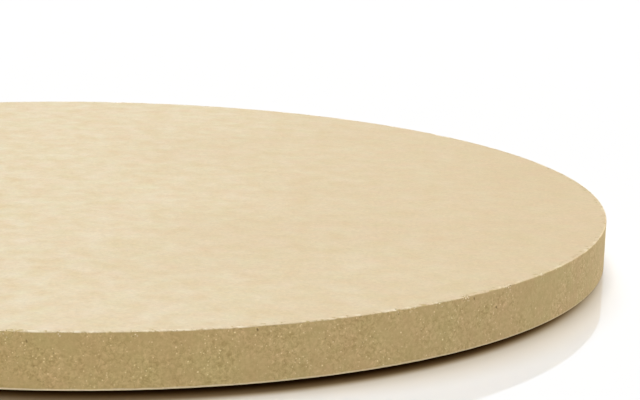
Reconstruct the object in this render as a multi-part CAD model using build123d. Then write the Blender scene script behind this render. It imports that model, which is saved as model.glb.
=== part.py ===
from build123d import *
import os

# A round one-piece baking stone: a flat slab, pressed from dry clay and fired, with a plain wall.
# Lengths are in millimetres. The origin is the centre of the underside, and +Z points up.

# Slab
stone_diameter = 356.0
stone_thickness = 16.0

# Rim of the baking face, worn slightly round
face_arris_radius = 0.4

# Rim of the underside, with a slight bevel where the slab left its die
base_bevel_width = 0.2
base_bevel_height = 0.2


def rims_of(slab):
    """The slab's circular edges, lowest first."""
    return slab.edges().filter_by(GeomType.CIRCLE).sort_by(Axis.Z)


def make_baking_stone():
    """The whole slab, lying on its underside."""
    slab = Cylinder(
        radius=stone_diameter / 2,
        height=stone_thickness,
        align=(Align.CENTER, Align.CENTER, Align.MIN),
    )
    underside = slab.faces().sort_by(Axis.Z).first
    slab = chamfer(
        rims_of(slab).first,
        length=base_bevel_width,
        length2=base_bevel_height,
        reference=underside,
    )
    return fillet(rims_of(slab).last, radius=face_arris_radius)


def main():
    """Write one STEP file for each piece of the object."""
    os.makedirs("parts", exist_ok=True)
    export_step(make_baking_stone(), "parts/baking_stone.step")


main()
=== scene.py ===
"""A round fired baking stone and its pale studio, modelled over the frame of its one solid."""

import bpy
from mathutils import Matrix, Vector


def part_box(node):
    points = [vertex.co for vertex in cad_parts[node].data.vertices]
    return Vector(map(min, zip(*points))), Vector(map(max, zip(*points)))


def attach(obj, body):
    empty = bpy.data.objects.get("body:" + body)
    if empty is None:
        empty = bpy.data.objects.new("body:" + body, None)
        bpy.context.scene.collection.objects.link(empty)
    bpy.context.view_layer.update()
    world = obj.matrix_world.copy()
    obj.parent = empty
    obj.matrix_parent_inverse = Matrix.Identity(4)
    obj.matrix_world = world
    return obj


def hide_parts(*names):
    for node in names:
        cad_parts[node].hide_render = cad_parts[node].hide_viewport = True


bl_info = {
    "name": "Round Baking Stone",
    "version": (1, 0, 0),
    "blender": (4, 5, 0),
    "location": "View3D > Sidebar > Baking Stone",
    "description": "Models a pressed and fired baking stone and the studio it lies in",
    "category": "Object",
}

import math
import random

import bmesh
import bpy
from bpy.props import FloatProperty, FloatVectorProperty, IntProperty, PointerProperty

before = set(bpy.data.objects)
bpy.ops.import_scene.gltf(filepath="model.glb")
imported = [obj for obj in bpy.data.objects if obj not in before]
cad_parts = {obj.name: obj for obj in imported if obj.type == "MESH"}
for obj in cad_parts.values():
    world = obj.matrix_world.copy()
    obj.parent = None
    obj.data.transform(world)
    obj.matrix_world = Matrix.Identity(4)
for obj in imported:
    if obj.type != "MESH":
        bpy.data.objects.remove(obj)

MM = 0.001
NODE = "baking_stone"
FRAME_LOW, FRAME_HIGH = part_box(NODE)
FRAME_RADIUS = max(FRAME_HIGH.x, FRAME_HIGH.y, -FRAME_LOW.x, -FRAME_LOW.y)
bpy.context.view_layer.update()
WHITE = (1.0, 1.0, 1.0, 1.0)

# Marks on the stone. Angles are in degrees round the axis from +X, lengths in metres.
# Crumbled lengths of the upper rim: angle, half length
FRONT_CRUMBLES = (
    (-89.8, 2.2 * MM),
    (-85.6, 1.1 * MM),
    (-79.2, 1.0 * MM),
    (-54.8, 0.9 * MM),
    (-53.2, 1.1 * MM),
    (-49.9, 2.1 * MM),
    (-46.5, 1.8 * MM),
    (-40.3, 1.6 * MM),
    (-34.2, 1.3 * MM),
)
OTHER_CRUMBLES = 13
# Pin holes in the wall: angle, height, radius
PIN_HOLES = (
    (-88.2, 13.1 * MM, 0.36 * MM),
    (-69.7, 14.6 * MM, 0.25 * MM),
    (-68.6, 15.0 * MM, 0.32 * MM),
    (-45.4, 14.9 * MM, 0.28 * MM),
    (-42.1, 10.4 * MM, 0.28 * MM),
)
OTHER_PIN_HOLES = 20
# Round the back, between these angles, marks lie by chance
UNSEEN = (-20, 255)
MARKS_SEED = 31

# Shades on the sheet, each the stone's outline moved towards the camera: the turn of the move from
# straight ahead to the right, its length, the depths inside that outline where the shade starts and
# is whole, and the share of the light that it takes. Contact, shadow, and the surround that it blocks.
SHADES = (
    (20.4, 15.8 * MM, 6.75 * MM, 14.85 * MM, 0.958),
    (1.3, 18.1 * MM, 5.36 * MM, 10.58 * MM, 0.734),
    (37.0, 48.0 * MM, 24.0 * MM, 40.5 * MM, 0.30),
)

# Faint tints that the body wanders between
PINKER = (1.022, 0.980, 1.014, 1.0)
GREENER = (0.978, 1.020, 0.987, 1.0)
# Tint painted on the open sand towards +X, as painted light: paler and bluer there
PAINTED_EAST_PALENESS = (0.985, 0.995, 1.12, 1.0)

# How far off a corner may lie and still count as on the wall, or on a flat face
WALL_SLACK = 0.05 * MM
FLAT_SLACK = 0.01 * MM

# How far from the upper rim the crumbled marks and the wear reach
CRUMBLE_REACH = 1.8 * MM
WEAR_REACH = 0.9 * MM
# A pin hole's dent, in radii of the hole
HOLE_DENT = 1.4
# Sizes of the clouds that push the surface in and out, and the grey levels that part a crumb from a gap
RIM_CLOUDS = 0.9 * MM
SAND_CLOUDS = 1.1 * MM
FACE_CLOUDS = 30 * MM
CRUMB_STOPS = ((0.42, 0.0), (0.70, 1.0))

# Bump of the sand that is too fine for the mesh
BUMP_STRENGTH = 0.7
BUMP_DEPTH = 0.16 * MM

# The sheet's gloss, and how much more the shade takes of its blue than it spares of its red
SHEET_ROUGHNESS = 0.04
SHADE_BLUE = 1.6
# Soft edge of the low surround, in shares of its height
HORIZON_EDGE = 0.2

# The camera: its place, how far it looks down and leans over, in radians, and its lens in millimetres
CAMERA_PLACE = (0.0802115, -0.6608579, 0.1589144)
CAMERA_DIP = 0.2155321
CAMERA_LEAN = 0.0328289
CAMERA_LENS = 109.571035

# Islands of the UV map, in shares of its side
DISC_SHARE = 0.49
DISC_CENTRE = 0.25
STRIP_COUNT = 5
STRIP_LENGTH_SHARE = 0.97
STRIP_PITCH_SHARE = 0.085
STRIPS_LEFT = 0.015
STRIPS_BOTTOM = 0.53
# Room in a strip under the wall's foot
STRIP_LIFT = 0.5 * MM


def length(name, description, default):
    """A property that holds a length in metres."""
    return FloatProperty(
        name=name, description=description, default=default, min=0, unit="LENGTH", precision=5
    )


def angle(name, description, degrees):
    """A property that holds an angle, given in degrees."""
    return FloatProperty(
        name=name, description=description, default=math.radians(degrees), subtype="ANGLE"
    )


def level(name, description, default):
    """A property that holds a plain share or strength."""
    return FloatProperty(name=name, description=description, default=default, min=0)


def colour(name, description, default):
    """A property that holds a colour, in linear light."""
    return FloatVectorProperty(
        name=name, description=description, default=default, size=3, subtype="COLOR", min=0, max=1
    )


class StoneSizes(bpy.types.PropertyGroup):
    """Sizes of the slab, of its edges and of the marks on it."""

    diameter: length("Diameter", "Across the wall", 2 * FRAME_RADIUS)
    thickness: length("Thickness", "From the underside to the baking face", FRAME_HIGH.z)
    face_arris: length("Face arris", "Radius of the baking face's rim", 0.4 * MM)
    base_bevel: length("Base bevel", "Width of the bevel round the underside", 0.2 * MM)
    rim_corners: IntProperty(
        name="Rim corners", description="Corners round the wall", default=2560, min=64
    )
    wall_rows: IntProperty(name="Wall rows", description="Cuts up the wall", default=20, min=1)
    face_cell: length("Face cell", "Widest mesh cell in mid face", 6 * MM)
    rim_band: length("Rim band", "Width of the finely divided band inside each rim", 1.5 * MM)
    rim_wear: length("Rim wear", "How far the whole upper rim is worn in and out", 0.16 * MM)
    crumble: length("Crumble", "How deep the crumbled lengths of the rim go", 0.5 * MM)
    wall_relief: length("Wall relief", "Height of the pressed sand on the wall", 0.10 * MM)
    pin_hole: length("Pin hole", "How deep the pin holes go", 0.5 * MM)
    face_relief: length("Face relief", "How far the baking face is from flat", 0.04 * MM)
    grain: length("Grain", "Width of the sand in the body", 1.0 * MM)


class StoneColours(bpy.types.PropertyGroup):
    """Colours of the fired body."""

    pale_skin: colour("Pale skin", "Palest pressed skin of the two faces", (0.796, 0.708, 0.532))
    warm_skin: colour("Warm skin", "Warmest pressed skin of the two faces", (0.716, 0.573, 0.354))
    # Painted shade: the faces are mixed towards this darker skin towards +X
    painted_east_shade_skin: colour("Painted east shade skin", "Skin painted darker towards +X, as shade", (0.66, 0.52, 0.325))
    # The wall's sand colours: partly the body's own colour, partly painted shade of the upright wall
    light_sand_with_painted_shade: colour("Light sand", "Lightest sand of the open wall", (0.738, 0.590, 0.307))
    dark_sand_with_painted_shade: colour("Dark sand", "Darkest sand of the open wall", (0.442, 0.319, 0.132))
    pale_grain: colour("Pale grain", "Light grog in the body", (0.94, 0.815, 0.50))
    # Also painted shade in the pores of the crumbled rim and in the pin holes
    dark_grog_and_painted_pit_shade: colour("Dark grain", "Dark grog and pin holes", (0.20, 0.13, 0.05))
    worn: colour("Worn edge", "Rubbed edges and crumbs", (0.94, 0.85, 0.67))


class StudioSettings(bpy.types.PropertyGroup):
    """Light, floor and camera."""

    floor: colour("Floor", "Glossy white sheet under the stone", (0.97, 0.97, 0.97))
    floor_bounce: colour("Floor bounce", "The same sheet as it lights the stone", (0.05, 0.047, 0.043))
    floor_width: length("Floor width", "Across the sheet", 60.0)
    key_level: level("Key level", "Light on the floor from the key", 0.89)
    key_height: angle("Key height", "Angle above the floor", 58)
    key_turn: angle("Key turn", "Angle from straight behind, to the right", 12)
    key_softness: angle("Key softness", "Width of the light in the sky", 38)
    sky_level: level("Sky level", "Light from all over the sky", 0.10)
    horizon_level: level("Horizon level", "Light on upright surfaces from the low surround", 0.64)
    horizon_tint: colour("Horizon tint", "Hue of the low surround", (1.0, 0.93, 0.80))
    horizon_reach: angle("Horizon reach", "Height of the low surround", 3)
    gloss: level("Gloss", "Refractive index of the sheet's gloss", 1.7)
    shade_warmth: level("Shade warmth", "How much more blue than red the shade takes away", 0.2)


class Wire:
    """One output of a node. Arithmetic on wires and numbers adds the Math nodes that it stands for."""

    def __init__(self, socket):
        self.socket = socket

    @staticmethod
    def node(tree, kind, settings, sockets):
        """Add a node: its settings first, then a value or a wire for each socket."""
        made = tree.nodes.new(kind)
        for name, value in settings.items():
            setattr(made, name, value)
        for name, value in sockets.items():
            if isinstance(value, Wire):
                tree.links.new(value.socket, made.inputs[name])
            else:
                made.inputs[name].default_value = value
        return made

    def math(self, operation, *values):
        """The result of one Math node on these values, in order."""
        sockets = dict(enumerate(values))
        made = Wire.node(self.socket.id_data, "ShaderNodeMath", {"operation": operation}, sockets)
        return Wire(made.outputs[0])

    def __add__(self, other):
        return self.math("ADD", self, other)

    def __sub__(self, other):
        return self.math("SUBTRACT", self, other)

    def __rsub__(self, other):
        return self.math("SUBTRACT", other, self)

    def __mul__(self, other):
        return self.math("MULTIPLY", self, other)

    __radd__ = __add__
    __rmul__ = __mul__

    def larger(self, other):
        """The larger of this and another value."""
        return self.math("MAXIMUM", self, other)

    def above(self, start, end):
        """0 up to start and 1 from end, with a soft slope between. End may be the lower one."""
        made = Wire.node(
            self.socket.id_data,
            "ShaderNodeMapRange",
            {"interpolation_type": "SMOOTHSTEP"},
            {"Value": self, "From Min": start, "From Max": end},
        )
        return Wire(made.outputs["Result"])


def mix(tree, factor, first, second, blend="MIX"):
    """Two colours mixed. A colour is a wire or four numbers."""
    settings = {"data_type": "RGBA", "blend_type": blend}
    made = Wire.node(tree, "ShaderNodeMix", settings, {0: factor, 6: first, 7: second})
    return Wire(made.outputs[2])


def blend_shaders(tree, factor, first, second):
    """Two shaders mixed, as nodes."""
    sockets = {0: factor, 1: Wire(first.outputs[0]), 2: Wire(second.outputs[0])}
    return Wire.node(tree, "ShaderNodeMixShader", {}, sockets)


def solid(rgb):
    """A property's colour with full alpha."""
    return (*rgb, 1.0)


class Body:
    """Patterns of the fired body, at real sizes, at one place wire."""

    def __init__(self, tree, place):
        self.tree = tree
        self.place = place

    def shifted(self, seed):
        """The same place moved aside, so that patterns of one size differ."""
        moved = Wire.node(
            self.tree, "ShaderNodeVectorMath", {"operation": "ADD"}, {0: self.place, 1: (seed,) * 3}
        )
        return Wire(moved.outputs[0])

    def noise(self, size, detail, roughness, seed, swirl=0.0):
        """Smooth noise about 0.5, with patches about half this wide."""
        made = Wire.node(
            self.tree,
            "ShaderNodeTexNoise",
            {},
            {
                "Vector": self.shifted(seed),
                "Scale": 1 / size,
                "Detail": detail,
                "Roughness": roughness,
                "Distortion": swirl,
            },
        )
        return Wire(made.outputs["Fac"])

    def grains(self, spacing, width, share, seed):
        """1 on scattered round grains, of which only a share of the cells has one."""
        cells = Wire.node(
            self.tree,
            "ShaderNodeTexVoronoi",
            {"feature": "F1"},
            {"Vector": self.shifted(seed), "Scale": 1 / spacing, "Randomness": 1.0},
        )
        split = Wire.node(
            self.tree, "ShaderNodeSeparateColor", {}, {"Color": Wire(cells.outputs["Color"])}
        )
        near = Wire(cells.outputs["Distance"]).above(0.5 * width / spacing, 0.2 * width / spacing)
        chosen = Wire(split.outputs["Red"])
        return near * chosen.math("LESS_THAN", chosen, share)


def across_axis(tree, x, y):
    """The distance from the axis, of a place whose parts are given."""
    return x.math("SQRT", x * x + y * y)


def attribute(tree, name):
    """A number stored on the mesh's corners."""
    made = Wire.node(tree, "ShaderNodeAttribute", {"attribute_name": name}, {})
    return Wire(made.outputs["Fac"])


def stone_finish(sizes, colours):
    """The fired body: a smooth pale skin on the faces, open sand on the wall, worn edges."""
    material = bpy.data.materials.new("fired_stone")
    material.use_nodes = True
    tree = material.node_tree
    tree.nodes.clear()
    place = Wire(Wire.node(tree, "ShaderNodeTexCoord", {}, {}).outputs["Object"])
    split = Wire.node(tree, "ShaderNodeSeparateXYZ", {}, {"Vector": place})
    east, height = Wire(split.outputs["X"]), Wire(split.outputs["Z"])
    across = across_axis(tree, east, Wire(split.outputs["Y"]))
    crumbled = attribute(tree, "crumbled")
    pierced = attribute(tree, "pierced")
    body = Body(tree, place)
    grain, radius, top = sizes.grain, sizes.diameter / 2, sizes.thickness

    # Patterns of the body
    sand = body.noise(1.1 * grain, 3.0, 0.75, 0.0, 0.6)
    clump = body.noise(5 * grain, 2.0, 0.6, 0.31)
    busy = body.noise(12 * grain, 2.0, 0.6, 0.39).above(0.40, 0.60)
    tint = body.noise(10 * grain, 4.0, 0.7, 0.47)
    mottle = body.noise(9 * grain, 3.0, 0.65, 0.57)
    cloud = body.noise(90 * grain, 2.0, 0.5, 0.63)
    rubbed = body.noise(8 * grain, 2.0, 0.6, 0.91).above(0.42, 0.58)
    chip = body.noise(2.4 * grain, 3.0, 0.7, 0.83, 0.5)
    grit = body.grains(1.0 * grain, 0.55 * grain, 0.40, 0.011)
    fleck = body.grains(3.0 * grain, 0.7 * grain, 0.35, 0.023)
    speck = body.grains(1.3 * grain, 0.5 * grain, 0.30, 0.037)
    crumb = body.grains(0.7 * grain, 0.6 * grain, 0.55, 0.053)
    pore = body.grains(0.9 * grain, 0.5 * grain, 0.5, 0.071)

    # Where the two skins, the ragged lip of the upper one and the rounded arris lie
    edge = (clump - 0.5) * (0.5 * MM) + height
    lip = across.above(radius - 2.6 * MM, radius - 1.0 * MM)
    lip = lip * height.above(top - 0.7 * MM, top - 0.4 * MM)
    arris = across.above(radius - 1.4 * MM, radius - 0.7 * MM)
    arris = arris * height.above(top - 0.4 * MM, top - 0.15 * MM)
    skin_top = edge.above(top - 0.34 * MM, top - 0.10 * MM) * (1.0 - lip * chip.above(0.46, 0.36))
    skin = skin_top.larger(height.above(0.06 * MM, 0.01 * MM))
    # Painted light and shade towards +X: the faces darker and warmer there, the wall paler and bluer,
    # the rubbed edges fainter
    painted_east_lighting = (east + (cloud - 0.5) * (150 * MM)).above(-30 * MM, 180 * MM)

    # The open sand of the wall, darker and warmer than the faces: partly its own colour, partly painted
    # shade of the upright wall
    tone = (sand - 0.5) * (0.9 + 1.5 * busy) + (clump - 0.5) * 0.35 + 0.45
    wall = mix(tree, tone, solid(colours.dark_sand_with_painted_shade), solid(colours.light_sand_with_painted_shade))
    wall = mix(tree, grit * (0.26 + 0.54 * busy), wall, solid(colours.pale_grain))
    wall = mix(tree, speck * (0.08 + 0.30 * busy), wall, solid(colours.dark_grog_and_painted_pit_shade))
    wall = mix(tree, fleck * 0.85, wall, solid(colours.pale_grain))
    # Painted light: the wall paler and bluer towards +X
    wall = mix(tree, painted_east_lighting, wall, PAINTED_EAST_PALENESS, blend="MULTIPLY")

    # The pressed skin of the two faces
    face = mix(tree, (mottle - 0.5) * 2.0 + 0.5, solid(colours.warm_skin), solid(colours.pale_skin))
    # Painted shade: the faces darker and warmer towards +X
    face = mix(tree, painted_east_lighting * 0.8, face, solid(colours.painted_east_shade_skin))
    face = mix(tree, grit * 0.10 + fleck * 0.18, face, solid(colours.worn))
    face = mix(tree, speck * 0.10, face, solid(colours.dark_grog_and_painted_pit_shade))
    face = mix(tree, 1.0, face, (sand - 0.5) * 0.33 + 1.0, blend="MULTIPLY")

    whole = mix(tree, skin, wall, face)
    wander = (tint - 0.5) * (3.0 - 1.2 * skin) + 0.5
    whole = mix(tree, 1.0, whole, mix(tree, wander, PINKER, GREENER), blend="MULTIPLY")
    # Paler along the foot of the wall, rubbed on the upper arris, and crumbs; then painted shade in the
    # pores and pin holes
    # Paler in a narrow band along the foot of the wall, just above the bevel
    pale_foot_band = edge.above(0.06 * MM, 0.16 * MM) * edge.above(0.66 * MM, 0.42 * MM)
    pale_foot_band = pale_foot_band * across.above(radius - 0.8 * MM, radius - 0.3 * MM) * (0.8 - 0.6 * painted_east_lighting)
    rubbed_rim = arris * rubbed * chip.above(0.48, 0.58) * (1.0 - 0.6 * painted_east_lighting)
    bright = pale_foot_band + rubbed_rim + crumbled * crumb * 1.5
    whole = mix(tree, bright, whole, solid(colours.worn))
    # Painted shade: pores of the crumbled rim and the pin holes are darkened as the shade in these pits
    painted_pit_shade = (crumbled * pore * 1.6).larger(pierced.above(0.15, 0.5) * 0.7)
    whole = mix(tree, painted_pit_shade, whole, solid(colours.dark_grog_and_painted_pit_shade))

    open_sand = 1.0 - skin
    relief = (sand - 0.5) * (0.5 * open_sand + 0.25) + (grit - speck) * (0.30 * open_sand + 0.04)
    relief = relief + fleck * (0.4 * open_sand)
    sockets = {"Strength": BUMP_STRENGTH, "Distance": BUMP_DEPTH, "Height": relief}
    bump = Wire.node(tree, "ShaderNodeBump", {}, sockets)
    shader = Wire.node(
        tree,
        "ShaderNodeBsdfPrincipled",
        {},
        {
            "Base Color": whole,
            "Roughness": 0.80 + 0.12 * open_sand + (clump - 0.5) * 0.12,
            "Normal": Wire(bump.outputs["Normal"]),
            "IOR": 1.5,
        },
    )
    Wire.node(tree, "ShaderNodeOutputMaterial", {}, {"Surface": Wire(shader.outputs["BSDF"])})
    return material


def deselect_all():
    """Leave edit mode and select nothing."""
    if bpy.context.object is not None and bpy.context.object.mode != "OBJECT":
        bpy.ops.object.mode_set(mode="OBJECT")
    bpy.ops.object.select_all(action="DESELECT")


def edit(piece, select_mode):
    """Open a piece for editing with nothing on it selected."""
    bpy.context.view_layer.objects.active = piece
    bpy.ops.object.mode_set(mode="EDIT")
    bpy.ops.mesh.select_mode(type=select_mode)
    bpy.ops.mesh.select_all(action="DESELECT")


def select_only(piece, kind, wanted):
    """Select only the faces or the edges that pass a test."""
    bpy.ops.mesh.select_mode(type=kind)
    bpy.ops.mesh.select_all(action="DESELECT")
    mesh = bmesh.from_edit_mesh(piece.data)
    for item in mesh.faces if kind == "FACE" else mesh.edges:
        if wanted(item):
            item.select_set(True)
    bmesh.update_edit_mesh(piece.data)


def flat_at(height):
    """A test for edges and faces that lie flat at one height."""
    return lambda item: all(abs(corner.co.z - height) < FLAT_SLACK for corner in item.verts)


def add_blank(sizes):
    """A plain round blank with two many-sided faces."""
    deselect_all()
    bpy.ops.mesh.primitive_cylinder_add(
        vertices=sizes.rim_corners,
        radius=sizes.diameter / 2,
        depth=sizes.thickness,
        end_fill_type="NGON",
        location=(0, 0, sizes.thickness / 2),
    )
    piece = bpy.context.object
    piece.name = piece.data.name = "fired_slab"
    bpy.ops.object.transform_apply(location=True, rotation=True, scale=True)
    return piece


def shape_rims(piece, sizes):
    """Round the upper rim and bevel the lower one."""
    edit(piece, "EDGE")
    select_only(piece, "EDGE", flat_at(sizes.thickness))
    bpy.ops.mesh.bevel(offset=sizes.face_arris, segments=4, profile=0.5, affect="EDGES")
    select_only(piece, "EDGE", flat_at(0))
    bpy.ops.mesh.bevel(offset=sizes.base_bevel, segments=1, affect="EDGES")
    bpy.ops.object.mode_set(mode="OBJECT")


def divide_face(piece, sizes, height, cell):
    """Divide a many-sided face into rings of cells that widen inwards, and close its centre."""
    edit(piece, "FACE")
    flat = flat_at(height)

    def is_cap(face):
        return len(face.verts) > 4 and flat(face)

    select_only(piece, "FACE", is_cap)
    bands = 3
    for _ in range(bands):
        bpy.ops.mesh.inset(thickness=sizes.rim_band / bands)
    radius = sizes.diameter / 2 - sizes.rim_band
    corners = sizes.rim_corners
    # Each ring is as wide as its cells. Where they get narrow, every other side is merged away first
    while corners > 5:
        if math.tau * radius / corners < 0.7 * cell:
            mesh = bmesh.from_edit_mesh(piece.data)
            mesh.edges.index_update()
            cap = next(face for face in mesh.faces if is_cap(face))
            every_other = {loop.edge.index for loop in list(cap.loops)[::2]}
            select_only(piece, "EDGE", lambda side: side.index in every_other)
            bpy.ops.mesh.merge(type="COLLAPSE")
            select_only(piece, "FACE", is_cap)
            corners //= 2
        step = math.tau * radius / corners
        if step > 0.6 * radius:
            break
        bpy.ops.mesh.inset(thickness=step)
        radius -= step
    bpy.ops.mesh.poke()
    bpy.ops.object.mode_set(mode="OBJECT")


def divide_wall(piece, sizes):
    """Cut the wall into rows."""
    edit(piece, "EDGE")
    tall = 0.5 * sizes.thickness
    select_only(
        piece, "EDGE", lambda side: abs(side.verts[0].co.z - side.verts[1].co.z) > tall
    )
    bpy.ops.mesh.subdivide(number_cuts=sizes.wall_rows)
    bpy.ops.mesh.select_all(action="SELECT")
    bpy.ops.mesh.normals_make_consistent(inside=False)
    bpy.ops.object.mode_set(mode="OBJECT")


def arc_between(first, second):
    """The smaller angle between two directions, in radians."""
    return abs((first - second + math.pi) % math.tau - math.pi)


def near_rim(sizes, across, height, reach):
    """1 on the upper rim, falling to 0 this far from it."""
    inwards = min(across - sizes.diameter / 2 + sizes.face_arris, 0)
    down = min(height - sizes.thickness + sizes.face_arris, 0)
    return max(1 - math.hypot(inwards, down) / reach, 0)


def scatter_marks(sizes):
    """The rim's crumbled lengths and the wall's pin holes, those of the front and others behind."""
    chance = random.Random(MARKS_SEED)
    crumbles = [(math.radians(turn), reach) for turn, reach in FRONT_CRUMBLES]
    holes = [(math.radians(turn), *rest) for turn, *rest in PIN_HOLES]
    for _ in range(OTHER_CRUMBLES):
        crumbles.append((math.radians(chance.uniform(*UNSEEN)), chance.uniform(1.0, 3.2) * MM))
    for _ in range(OTHER_PIN_HOLES):
        spot = (math.radians(chance.uniform(*UNSEEN)), chance.uniform(0.1, 0.9) * sizes.thickness)
        holes.append((*spot, chance.uniform(0.22, 0.4) * MM))
    return crumbles, holes


def map_marks(piece, sizes):
    """Store on each corner how far it is crumbled and how far it lies in a pin hole."""
    crumbles, holes = scatter_marks(sizes)
    radius = sizes.diameter / 2
    crumbled, pierced = [], []
    for corner in piece.data.vertices:
        x, y, height = corner.co
        across, turn = math.hypot(x, y), math.atan2(y, x)
        rim, hole = near_rim(sizes, across, height, CRUMBLE_REACH), 0.0
        if rim > 0:
            rim *= max(1 - (radius * arc_between(turn, at) / reach) ** 2 for at, reach in crumbles)
        if across > radius - WALL_SLACK:
            for at, up, reach in holes:
                away = math.hypot(radius * arc_between(turn, at), height - up)
                hole = max(hole, 1 - (away / (HOLE_DENT * reach)) ** 2)
        crumbled.append(max(rim, 0.0))
        pierced.append(hole)
    for name, values in (("crumbled", crumbled), ("pierced", pierced)):
        piece.data.attributes.new(name, "FLOAT", "POINT").data.foreach_set("value", values)
    return crumbled, pierced


def weigh(piece, name, weights):
    """A vertex group with one weight for each corner."""
    group = piece.vertex_groups.new(name=name)
    for place, weight in enumerate(weights):
        if weight > 0:
            group.add([place], min(weight, 1.0), "REPLACE")
    return name


def displace(piece, name, group, depth, middle, stops=None, **settings):
    """Push the surface in and out along its normals by clouds at real size, and apply it."""
    modifier = piece.modifiers.new(name, "DISPLACE")
    modifier.vertex_group = group
    modifier.strength = depth
    modifier.mid_level = middle
    if settings:
        texture = bpy.data.textures.new(name, "CLOUDS")
        for setting, value in settings.items():
            setattr(texture, setting, value)
        if stops:
            texture.use_color_ramp = True
            for element, (position, grey) in zip(texture.color_ramp.elements, stops):
                element.position = position
                element.color = (grey, grey, grey, 1)
        modifier.texture = texture
        modifier.texture_coords = "LOCAL"
    bpy.ops.object.modifier_apply(modifier=name)


def wear(piece, sizes):
    """Rub and crumble the upper rim, press sand into the wall, pierce it, and let the face wander."""
    radius, top = sizes.diameter / 2, sizes.thickness
    crumbled, pierced = map_marks(piece, sizes)
    rim, wall, face = [], [], []
    for corner in piece.data.vertices:
        across, height = math.hypot(corner.co.x, corner.co.y), corner.co.z
        rim.append(near_rim(sizes, across, height, WEAR_REACH))
        on_wall = across > radius - WALL_SLACK and height > sizes.base_bevel - FLAT_SLACK
        wall.append(float(on_wall) * (1.0 if height > 1 * MM else 0.4))
        face.append(float(height > top - FLAT_SLACK))
    displace(
        piece, "rim wear", weigh(piece, "rim", rim), sizes.rim_wear, 0.5,
        noise_scale=RIM_CLOUDS, noise_depth=2,
    )
    displace(
        piece, "crumbled rim", weigh(piece, "crumbled rim", crumbled), -sizes.crumble, 0.0,
        stops=CRUMB_STOPS, noise_scale=RIM_CLOUDS, noise_depth=1,
    )
    displace(
        piece, "wall sand", weigh(piece, "wall sand", wall), sizes.wall_relief, 0.5,
        noise_scale=SAND_CLOUDS, noise_depth=1,
    )
    displace(piece, "pin holes", weigh(piece, "pin holes", pierced), -sizes.pin_hole, 0.0)
    displace(
        piece, "face wander", weigh(piece, "face wander", face), sizes.face_relief, 0.5,
        noise_scale=FACE_CLOUDS, noise_depth=1,
    )
    for group in list(piece.vertex_groups):
        piece.vertex_groups.remove(group)


def lay_out(piece, sizes):
    """A UV map: the two faces as discs, and the wall cut into strips that are finer."""
    radius, top = sizes.diameter / 2, sizes.thickness
    disc_scale = DISC_SHARE / sizes.diameter
    strip_turn = math.tau / STRIP_COUNT
    wall_scale = STRIP_LENGTH_SHARE / (strip_turn * radius)
    layout = piece.data.uv_layers.new(name="OFBake")
    mesh = piece.data
    for face in mesh.polygons:
        middle = face.center
        flat = abs(face.normal.z) > 0.9 and math.hypot(middle.x, middle.y) < radius - 0.3 * MM
        turn = math.atan2(middle.y, middle.x) % math.tau
        strip = min(int(turn / strip_turn), STRIP_COUNT - 1)
        for loop in face.loop_indices:
            x, y, height = mesh.vertices[mesh.loops[loop].vertex_index].co
            if flat:
                side = -1 if middle.z < top / 2 else 1
                place = (0.5 - side * DISC_CENTRE + side * x * disc_scale, DISC_CENTRE + y * disc_scale)
            else:
                swing = (math.atan2(y, x) - turn + math.pi) % math.tau - math.pi
                along = swing + turn - strip * strip_turn
                inset = (radius - math.hypot(x, y)) * (1 if height > top / 2 else -1)
                up = (height + inset + STRIP_LIFT) * wall_scale
                place = (
                    STRIPS_LEFT + along * radius * wall_scale,
                    STRIPS_BOTTOM + strip * STRIP_PITCH_SHARE + up,
                )
            layout.data[loop].uv = place


class BAKINGSTONE_OT_slab(bpy.types.Operator):
    """Model the slab and give it its fired finish"""

    bl_idname = "baking_stone.slab"
    bl_label = "Model Slab"

    def execute(self, context):
        sizes = context.scene.stone_sizes
        piece = add_blank(sizes)
        shape_rims(piece, sizes)
        divide_face(piece, sizes, sizes.thickness, sizes.face_cell)
        divide_face(piece, sizes, 0, 2 * sizes.face_cell)
        divide_wall(piece, sizes)
        wear(piece, sizes)
        lay_out(piece, sizes)
        bpy.ops.object.shade_smooth_by_angle(angle=math.radians(40))
        piece.data.materials.append(stone_finish(sizes, context.scene.stone_colours))
        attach(piece, "root")
        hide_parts(NODE)
        return {"FINISHED"}


def floor_finish(studio, sizes):
    """A glossy white sheet, darkened where the stone's own shadow and its contact lie."""
    material = bpy.data.materials.new("white_sheet")
    material.use_nodes = True
    tree = material.node_tree
    tree.nodes.clear()
    place = Wire(Wire.node(tree, "ShaderNodeTexCoord", {}, {}).outputs["Object"])
    split = Wire.node(tree, "ShaderNodeSeparateXYZ", {}, {"Vector": place})
    east, north = Wire(split.outputs["X"]), Wire(split.outputs["Y"])

    ray = Wire.node(tree, "ShaderNodeLightPath", {}, {})
    from_stone = Wire(ray.outputs["Is Diffuse Ray"])
    clear = 1.0
    for turn, lean, start, end, share in SHADES:
        aside, ahead = lean * math.sin(math.radians(turn)), lean * math.cos(math.radians(turn))
        depth = sizes.diameter / 2 - across_axis(tree, east - aside, north + ahead)
        clear = (1.0 - depth.above(start, end) * share) * clear
    filtered = Wire.node(
        tree,
        "ShaderNodeCombineColor",
        {},
        {
            "Red": clear.math("POWER", clear, 1 - studio.shade_warmth),
            "Green": clear,
            "Blue": clear.math("POWER", clear, 1 + SHADE_BLUE * studio.shade_warmth),
        },
    )
    sheet = mix(tree, 1.0, solid(studio.floor), Wire(filtered.outputs[0]), blend="MULTIPLY")
    sheet = mix(tree, from_stone, sheet, solid(studio.floor_bounce))
    matt = Wire.node(tree, "ShaderNodeBsdfDiffuse", {}, {"Color": sheet})
    sockets = {"Color": WHITE, "Roughness": SHEET_ROUGHNESS}
    gloss = Wire.node(tree, "ShaderNodeBsdfAnisotropic", {}, sockets)
    fresnel = Wire.node(tree, "ShaderNodeFresnel", {}, {"IOR": studio.gloss})
    whole = blend_shaders(tree, (1.0 - from_stone) * clear * Wire(fresnel.outputs[0]), matt, gloss)
    Wire.node(tree, "ShaderNodeOutputMaterial", {}, {"Surface": Wire(whole.outputs[0])})
    return material


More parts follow.
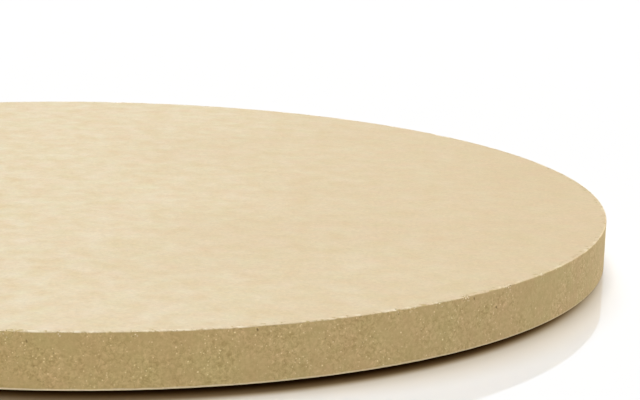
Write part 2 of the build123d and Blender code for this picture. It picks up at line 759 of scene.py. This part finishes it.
def light_surround(studio):
    """White to the camera and in reflections. For the rest a dim sky over a bright low surround."""
    world = bpy.data.worlds.new("surround")
    bpy.context.scene.world = world
    world.use_nodes = True
    tree = world.node_tree
    tree.nodes.clear()
    direction = Wire(Wire.node(tree, "ShaderNodeTexCoord", {}, {}).outputs["Generated"])
    split = Wire.node(tree, "ShaderNodeSeparateXYZ", {}, {"Vector": direction})
    rise = Wire(split.outputs["Z"])
    rise = rise.math("ABSOLUTE", rise)
    reach = math.sin(studio.horizon_reach)
    low = rise.above((1 + HORIZON_EDGE) * reach, (1 - HORIZON_EDGE) * reach)
    soft = low * (0.5 * math.pi * studio.horizon_level / reach) + studio.sky_level
    ray = Wire.node(tree, "ShaderNodeLightPath", {}, {})
    seen = Wire(ray.outputs["Is Camera Ray"]).larger(Wire(ray.outputs["Is Glossy Ray"]))
    seen = seen.larger(Wire(ray.outputs["Is Transmission Ray"]))
    strength = seen + (1.0 - seen) * soft
    hue = mix(tree, (1.0 - seen) * low, WHITE, solid(studio.horizon_tint))
    background = Wire.node(tree, "ShaderNodeBackground", {}, {"Color": hue, "Strength": strength})
    Wire.node(tree, "ShaderNodeOutputWorld", {}, {"Surface": Wire(background.outputs[0])})


class BAKINGSTONE_OT_studio(bpy.types.Operator):
    """Lay the white sheet and set up the light and the camera"""

    bl_idname = "baking_stone.studio"
    bl_label = "Set Up Studio"

    def execute(self, context):
        studio = context.scene.stone_studio
        deselect_all()
        bpy.ops.mesh.primitive_plane_add(size=studio.floor_width)
        floor = context.object
        floor.name = floor.data.name = "white_sheet"
        floor.data.materials.append(floor_finish(studio, context.scene.stone_sizes))
        light_surround(studio)

        bpy.ops.object.light_add(type="SUN", location=(0, 1, 1))
        key = context.object
        key.name = "key"
        key.data.angle = studio.key_softness
        key.data.energy = math.pi * studio.key_level / math.sin(studio.key_height)
        key.rotation_euler = (studio.key_height - math.pi / 2, 0, -studio.key_turn)
        key.visible_glossy = False

        bpy.ops.object.camera_add(location=CAMERA_PLACE)
        camera = context.object
        camera.rotation_mode = "ZYX"
        camera.rotation_euler = (math.pi / 2 - CAMERA_DIP, 0, CAMERA_LEAN)
        camera.data.lens = CAMERA_LENS
        context.scene.camera = camera
        context.scene.view_settings.view_transform = "Standard"
        return {"FINISHED"}


class BAKINGSTONE_PT_panel(bpy.types.Panel):
    """Sizes, colours and steps, in the order in which they are run"""

    bl_idname = "BAKINGSTONE_PT_panel"
    bl_label = "Baking Stone"
    bl_space_type = "VIEW_3D"
    bl_region_type = "UI"
    bl_category = "Baking Stone"

    def draw(self, context):
        for operator in OPERATORS:
            self.layout.operator(operator.bl_idname)
        for name in GROUPS:
            settings = getattr(context.scene, name)
            box = self.layout.box()
            for key in settings.bl_rna.properties.keys():
                if key not in {"rna_type", "name"}:
                    box.prop(settings, key)


GROUPS = {"stone_sizes": StoneSizes, "stone_colours": StoneColours, "stone_studio": StudioSettings}
OPERATORS = (BAKINGSTONE_OT_slab, BAKINGSTONE_OT_studio)
CLASSES = (*GROUPS.values(), *OPERATORS, BAKINGSTONE_PT_panel)


def register():
    for made in CLASSES:
        bpy.utils.register_class(made)
    for name, group in GROUPS.items():
        setattr(bpy.types.Scene, name, PointerProperty(type=group))


def unregister():
    for name in GROUPS:
        delattr(bpy.types.Scene, name)
    for made in reversed(CLASSES):
        bpy.utils.unregister_class(made)


def main():
    """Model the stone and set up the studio."""
    register()
    bpy.ops.baking_stone.slab()
    bpy.ops.baking_stone.studio()


if __name__ == "__main__":
    main()
